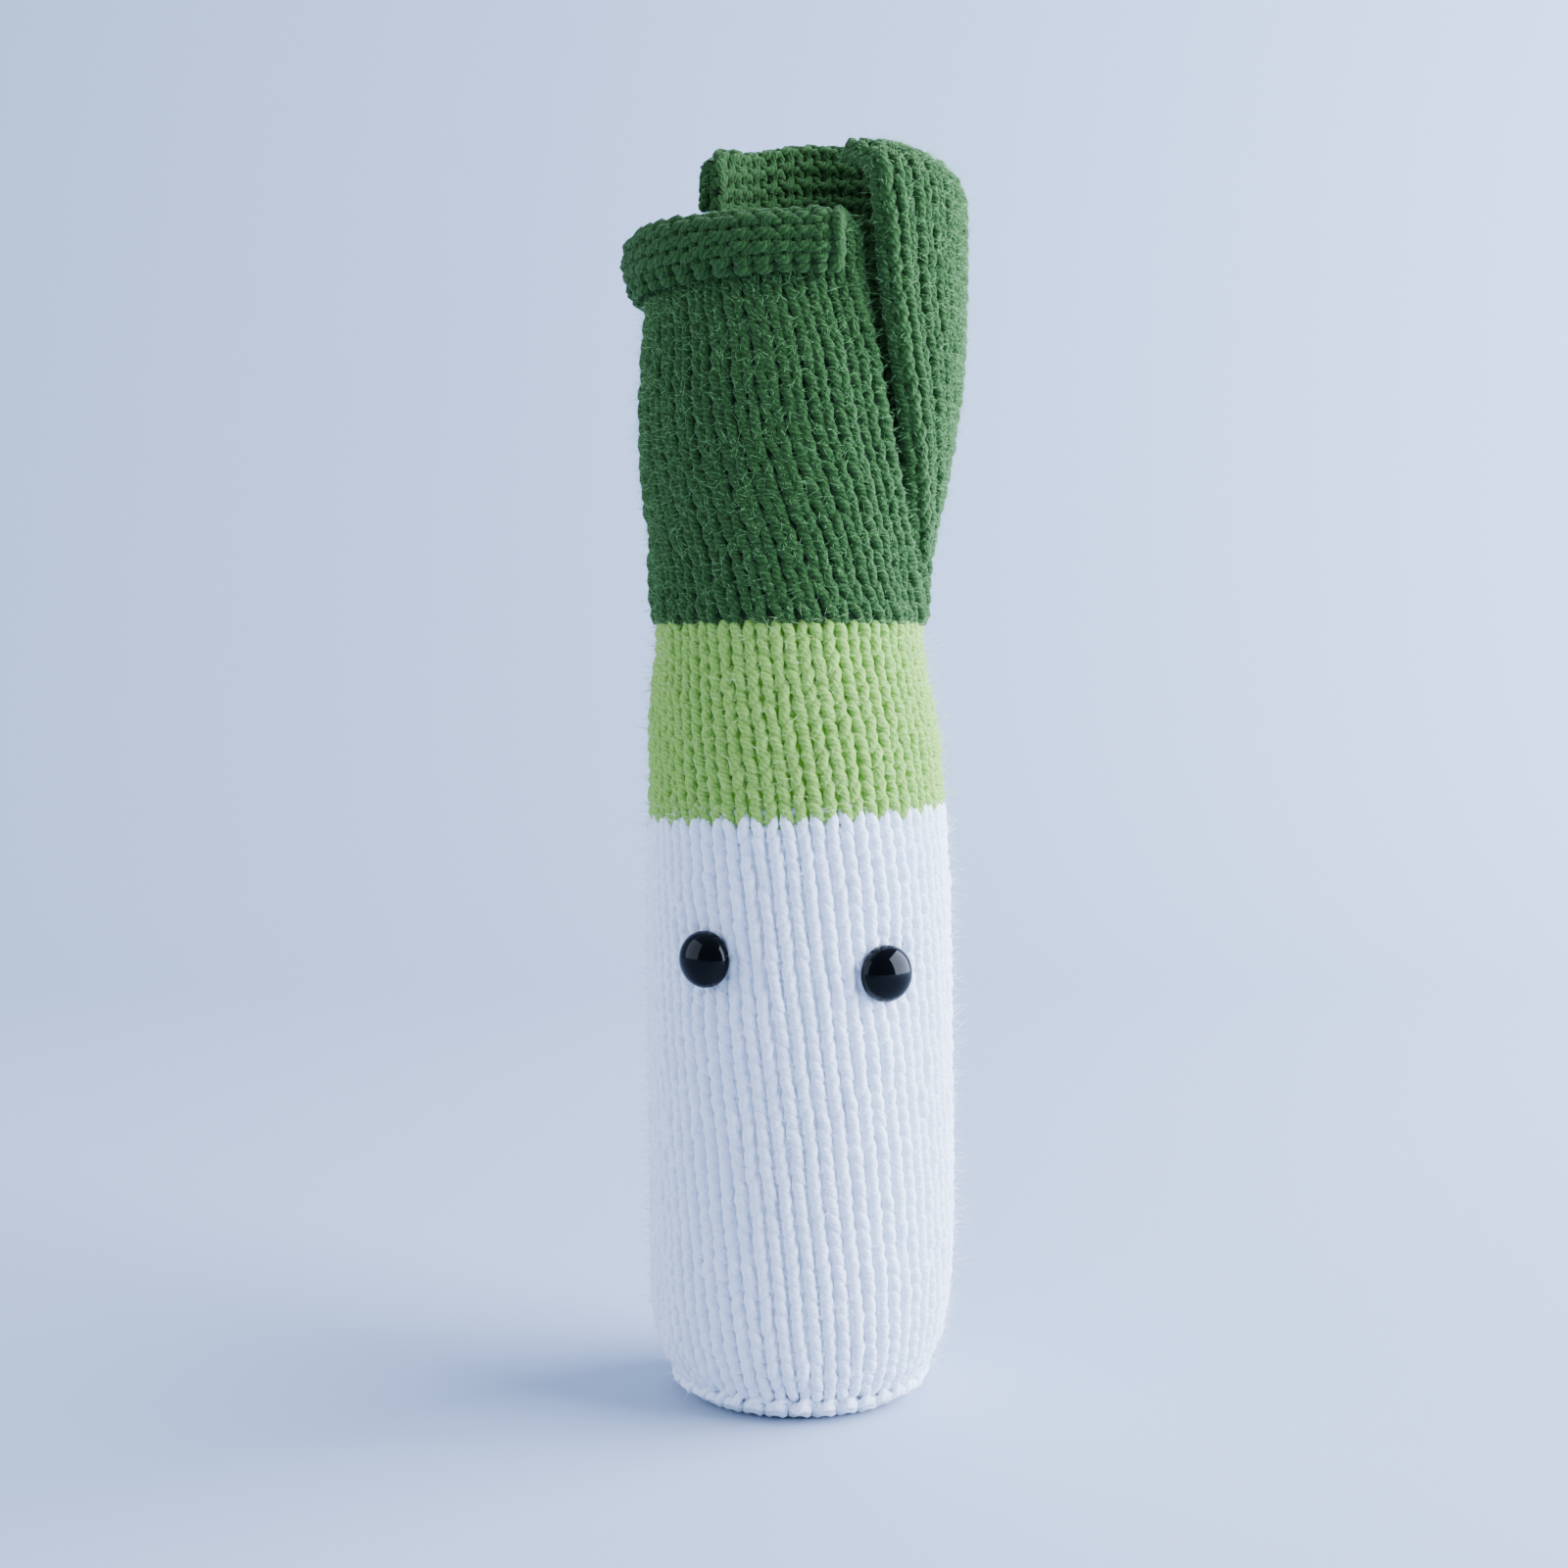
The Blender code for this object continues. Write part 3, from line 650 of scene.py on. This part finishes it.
def plastic_material(name, colour, roughness, ripple, gloss):
    """Moulded plastic with a faint unevenness in its polish."""
    material, tree, shader = fresh_material(name)
    place = add(tree, "ShaderNodeTexCoord")
    noise = add(tree, "ShaderNodeTexNoise", [("Vector", place.outputs["Object"])], Scale=300.0, Detail=1.0)
    bump = add(tree, "ShaderNodeBump", [("Height", noise.outputs["Fac"])],
               Strength=ripple, Distance=0.02 * MM)
    tree.links.new(shader.inputs["Normal"], bump.outputs["Normal"])
    shader.inputs["Base Color"].default_value = linear(colour)
    shader.inputs["Roughness"].default_value = roughness
    shader.inputs["IOR"].default_value = 1.49
    shader.inputs["Specular IOR Level"].default_value = gloss
    return material


WHITE = yarn_material("white_acrylic_yarn", "#f4f8ff", "#e6edfb", "#ffffff", 0.2, 0.45)
LIME = yarn_material("lime_acrylic_yarn", "#9fc65c", "#6f9f36", "#dcf2b4", 0.25, 0.7)
GREEN = yarn_material("green_acrylic_yarn", "#365c29", "#13280c", "#bfe3a4", 0.2, 0.8)
WHITE_CLOTH = cloth_material("white_knit_lining", "#eef1f7")
# The lime lining is the yarn's own lime, made more saturated as painted light shining through the gaps
# between the loops
LIME_LINING_AND_PAINTED_LIGHT = cloth_material("lime_knit_lining_and_painted_light", "#7fbd22")
# Painted shade: the green lining is near black, darker than its own yarn, for the shade between the loops
# and deep inside the leaves
GREEN_LINING_PAINTED_SHADE = cloth_material("green_knit_lining_painted_shade", "#10240c")
WHITE_FIBRE = fibre_material("white_loose_fibre", "#f6f7fa")
# Painted light: the lime and green fibres are lighter than their yarn, the tone of lit yarn, so the fuzzy
# halo reads as lit
LIME_FIBRE_PAINTED_LIGHT = fibre_material("lime_loose_fibre_painted_light", "#c2e08a")
GREEN_FIBRE_PAINTED_LIGHT = fibre_material("green_loose_fibre_painted_light", "#86bd74")
EYE_PLASTIC = plastic_material("black_moulded_plastic", "#020203", 0.05, 0.03, 0.12)
WASHER_PLASTIC = plastic_material("offwhite_moulded_plastic", "#dcdcd8", 0.4, 0.2, 0.5)
STUFFING = cloth_material("polyester_fibre", "#f0f0ee")


def dress(piece, material):
    """Give a piece one material."""
    piece.data.materials.clear()
    piece.data.materials.append(material)


def tilted_spot(turn, mark, depth):
    """A point of the body whose course height follows the slight tilt of the knitting."""
    return body_spot(turn, mark + course_tilt(turn, mark), depth)


def body_band(name, node, slot, low, high, rows, loop, materials, fibres, seed):
    """One colour of the body: its courses, the lining behind them and its fuzz.

    fibres is the number of loose fibres, seed the start of their random draws.
    """
    (verts, quads, uv), lines = knit_tube(mark_at(low), mark_at(high), rows, loop)
    knit = new_piece(name + "_courses", verts, quads, node, slot, uv)
    dress(knit, materials[0])
    marks = np.linspace(mark_at(low), mark_at(high) - 0.3 * MM, max(rows, 6))
    turns = np.linspace(0, 2 * pi, 97)[:-1]
    back = wall(tilted_spot, turns, marks, -1.4 * MM, -FABRIC + 0.05 * MM, True)
    lining = new_piece(name + "_lining", *back, node, slot)
    dress(lining, materials[1])
    halo = fuzz(name + "_fuzz", lines, fibres, slot, seed, BODY_FIBRE, BODY_FIBRE_STRETCH)
    dress(halo, materials[2])


def make_body():
    """The white sleeve and the pale green band on top of it."""
    body_band("white", "sleeve_white", "white_yarn", SEAM_HEIGHT, LIME_BOTTOM, WHITE_COURSES, WHITE_LOOP,
              (WHITE, WHITE_CLOTH, WHITE_FIBRE), fibres=20000, seed=5)
    body_band("lime", "sleeve_lime", "lime_yarn", LIME_BOTTOM, LIME_TOP, LIME_COURSES, LIME_LOOP,
              (LIME, LIME_LINING_AND_PAINTED_LIGHT, LIME_FIBRE_PAINTED_LIGHT), fibres=10000, seed=6)


def make_leaf(name, shape, wall_rows, rim_rows, low_count, high_count, fibres, seed):
    """One leaf: its rows, the lining behind them and its fuzz.

    The rows are counted up the wall and round the rolled rim. The stitches grow from low_count at the
    foot of the leaf to high_count at its top.
    """
    surface = LeafSurface(shape)
    (verts, quads, uv), lines = knit_leaf(surface, wall_rows, rim_rows, low_count, high_count)
    knit = new_piece(name + "_rows", verts, quads, name, "green_yarn", uv)
    dress(knit, GREEN)
    us = np.linspace(0, 1, 96)
    vs = np.concatenate([np.linspace(0, 1, 32), 1 + np.linspace(0, LINING_RIM, 24)[1:]])
    back = wall(surface.spot, us, vs, 0.28 * MM, -0.15 * MM, False)
    lining = new_piece(name + "_lining", *back, name, "green_yarn")
    # The leaf's lining is painted shade, dark behind the loops
    dress(lining, GREEN_LINING_PAINTED_SHADE)
    halo = fuzz(name + "_fuzz", lines, fibres, "green_yarn", seed, LEAF_FIBRE)
    dress(halo, GREEN_FIBRE_PAINTED_LIGHT)
    height, first, _, second, _ = rim(shape, np.array([0.6]))
    flat = (surface.width_at(0.6), float((height - LEAF_BOTTOM + LINING_RIM * (first + second))[0]))


def eye_place(turn, height):
    """Centre, outward, sideways and upward directions of an eye on the body."""
    radius = np.interp(height, LINE[:, 1], LINE[:, 0])
    out = np.array([np.sin(turn), -np.cos(turn), 0.0])
    across = np.array([np.cos(turn), np.sin(turn), 0.0])
    centre = np.array([lean(height), 0, height]) + out * radius
    return centre, out, across, np.array([0.0, 0.0, 1.0])


def make_eye(side, turn, height):
    """A glossy dome with a rounded rim, on its shank."""
    centre, out, across, up = eye_place(turn, height)
    back = -EYE_SINK
    swing = np.linspace(0, pi / 2, 18)
    rim_swing = np.linspace(-pi / 2, 0, 6)
    tip, shank, edge = 0.0008 * MM, 1.2 * MM, 0.35 * MM
    r = np.concatenate([[tip, shank, shank], EYE_RADIUS - edge + edge * np.cos(rim_swing),
                        EYE_RADIUS * np.cos(swing[1:-1]), [tip]])
    z = np.concatenate([[back - EYE_SHANK, back - EYE_SHANK, back], back + edge + edge * np.sin(rim_swing),
                        back + 0.7 * MM + EYE_DOME * np.sin(swing[1:])])
    sides = 72
    turns = 2 * pi * np.arange(sides) / sides
    verts = (centre + z[:, None, None] * out + r[:, None, None]
             * (np.cos(turns)[None, :, None] * across + np.sin(turns)[None, :, None] * up)).reshape(-1, 3)
    j, k = (a.ravel() for a in np.meshgrid(np.arange(len(r) - 1), np.arange(sides), indexing="ij"))
    n = (k + 1) % sides
    faces = np.stack([j * sides + k, j * sides + n, (j + 1) * sides + n, (j + 1) * sides + k], -1)
    piece = new_piece("eye_dome_" + side, verts, faces, "eye_" + side, "black_plastic")
    dress(piece, EYE_PLASTIC)


def make_base():
    """The bottom: rounds of knitting inside the seam, and the overcast seam rope itself."""
    parts = []
    for r in np.linspace(*BASE_ROUNDS) * MM:
        stitches = max(int(round(2 * pi * r / BASE_STITCH)), 4)
        across, sway, up, out = loop_shape(stitches)
        turn = 2 * pi * (across + 0.17 * sway) / stitches
        n = len(turn)
        rr = r - 1.1 * MM * up * (1 + slow_noise(n, 0.1, LOOP_DRIFT))
        zz = YARN + (0.4 + 1.5 * smooth((r / MM - 16.6) / 2.4)) * MM - 0.3 * MM * out
        centres = np.column_stack([rr * np.sin(turn), -rr * np.cos(turn), zz])
        facing = np.tile([0.0, 0.0, -1.0], (n, 1))
        parts.append(tube(centres, facing, YARN * (1 + slow_noise(n, 0.05, 5)), True))
    verts, quads, uv = gather(parts)
    base = new_piece("base_rounds", verts, quads, "base_disc", "white_yarn", uv)
    dress(base, WHITE)
    points = SEAM_WRAPS * 14
    t = np.linspace(0, 2 * pi, points, endpoint=False)
    swing = SEAM_WRAPS * t + slow_noise(points, 0.9, 25)
    r, z = (float(np.interp(mark_at(SEAM_HEIGHT), LINE_MARKS, LINE[:, k])) for k in (0, 1))
    coil = SEAM_COIL * (1 + slow_noise(points, 0.2, 14))
    rr = r - 0.55 * MM + coil * np.cos(swing) + slow_noise(points, 0.15 * MM, 30)
    zz = z - 0.1 * MM + coil * np.sin(swing) + slow_noise(points, 0.2 * MM, 30)
    centres = np.column_stack([rr * np.sin(t), -rr * np.cos(t), zz])
    facing = np.column_stack([np.cos(swing) * np.sin(t), -np.cos(swing) * np.cos(t), np.sin(swing)])
    verts, quads, uv = tube(centres, facing, YARN * (0.8 + slow_noise(points, 0.06, 10)), True)
    rope = new_piece("seam_overcast", verts, quads, "sleeve_white", "white_yarn", uv)
    dress(rope, WHITE)
    turns, shares = np.linspace(0, 2 * pi, 73)[:-1], np.linspace(0.02, 1, 8)
    lining = wall(base_spot, turns, shares, 1.7 * MM, FABRIC, True)
    back = new_piece("base_lining", *lining, "base_disc", "white_yarn")
    dress(back, WHITE_CLOTH)


def base_spot(turn, share, depth):
    """Points above the flat bottom: share of the way from its centre to the seam."""
    r = share * 18.6 * MM
    z = depth + 1.2 * MM * smooth((share - 0.75) / 0.25)
    return np.stack([r * np.sin(turn), -r * np.cos(turn), z], axis=-1)


def make_stage():
    """A pale floor that curves up into the wall behind."""
    rise = np.linspace(0, pi / 2, 14)
    line = [(-1.2, 0.0)] + [(0.45 + 0.35 * np.sin(a), 0.35 - 0.35 * np.cos(a)) for a in rise] + [(0.8, 1.6)]
    verts = [(x, y, z) for y, z in line for x in (-1.6, 1.6)]
    faces = [(2 * i, 2 * i + 1, 2 * i + 3, 2 * i + 2) for i in range(len(line) - 1)]
    mesh = bpy.data.meshes.new("floor")
    mesh.from_pydata(verts, [], faces)
    mesh.polygons.foreach_set("use_smooth", np.ones(len(faces), bool))
    floor = bpy.data.objects.new("floor", mesh)
    bpy.context.scene.collection.objects.link(floor)
    material, _, shader = fresh_material("pale_paper")
    shader.inputs["Base Color"].default_value = linear("#aab4c6")
    shader.inputs["Roughness"].default_value = 0.9
    floor.data.materials.append(material)


def add_light(name, place, aim, size, power, colour):
    """A rectangular window or reflector at a place, turned towards aim."""
    data = bpy.data.lights.new(name, "AREA")
    data.shape = "RECTANGLE"
    data.size, data.size_y = size
    data.energy = power
    data.color = colour
    lamp = bpy.data.objects.new(name, data)
    lamp.location = place
    way = np.array(aim) - np.array(place)
    lamp.rotation_euler = Vector(way).to_track_quat("-Z", "Y").to_euler()
    bpy.context.scene.collection.objects.link(lamp)


def make_light():
    """Window light from the right, a weak fill from the left, and a room darker towards the front."""
    add_light("window", (0.85, 0.0, 0.42), (0, 0, 0.1), (1.2, 0.9), 68.0, (0.76, 0.91, 1.19))
    add_light("fill", (-0.95, -0.2, 0.45), (0, 0, 0.1), (0.9, 0.9), 9.0, (0.76, 0.90, 1.15))
    world = bpy.data.worlds.new("room")
    bpy.context.scene.world = world
    world.use_nodes = True
    sky = world.node_tree.nodes["Background"]
    sky.inputs["Color"].default_value = (0.57, 0.76, 1.22, 1)
    way = add(world.node_tree, "ShaderNodeTexCoord")
    split = add(world.node_tree, "ShaderNodeSeparateXYZ", [("Vector", way.outputs["Generated"])])
    dim = add(world.node_tree, "ShaderNodeMapRange", [("Value", split.outputs["Y"])],
              From_Min=-1.0, From_Max=0.2)
    dim.inputs["To Min"].default_value = 0.5
    dim.inputs["To Max"].default_value = 1.15
    world.node_tree.links.new(sky.inputs["Strength"], dim.outputs["Result"])


def make_camera():
    """The place and lens the photograph was taken with, as fitted to the toy's outline."""
    data = bpy.data.cameras.new("camera")
    data.lens = CAMERA_LENS
    data.sensor_width = 36.0
    camera = bpy.data.objects.new("camera", data)
    camera.location = CAMERA_PLACE
    camera.rotation_euler = (pi / 2 - CAMERA_PITCH, 0, 0)
    bpy.context.scene.collection.objects.link(camera)
    bpy.context.scene.camera = camera


def dress_inside():
    """The solids that stay as they are, hidden inside or deep between the leaves."""
    # The inner cap wears the near-black lining, painted shade for the inside between the leaves
    for node, material in (("inner_cap", GREEN_LINING_PAINTED_SHADE), ("stuffing", STUFFING),
                           ("washer_left", WASHER_PLASTIC), ("washer_right", WASHER_PLASTIC)):
        dress(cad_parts[node], material)


make_body()
make_leaf("leaf_front", front_leaf, wall_rows=22, rim_rows=6, low_count=16, high_count=20,
          fibres=20000, seed=8)
make_leaf("leaf_back", back_leaf, wall_rows=27, rim_rows=5, low_count=16, high_count=25,
          fibres=23000, seed=9)
make_base()
for eye_side, (eye_turn, eye_height) in EYE_PLACES.items():
    make_eye(eye_side, eye_turn, eye_height)
dress_inside()
make_stage()
make_light()
make_camera()
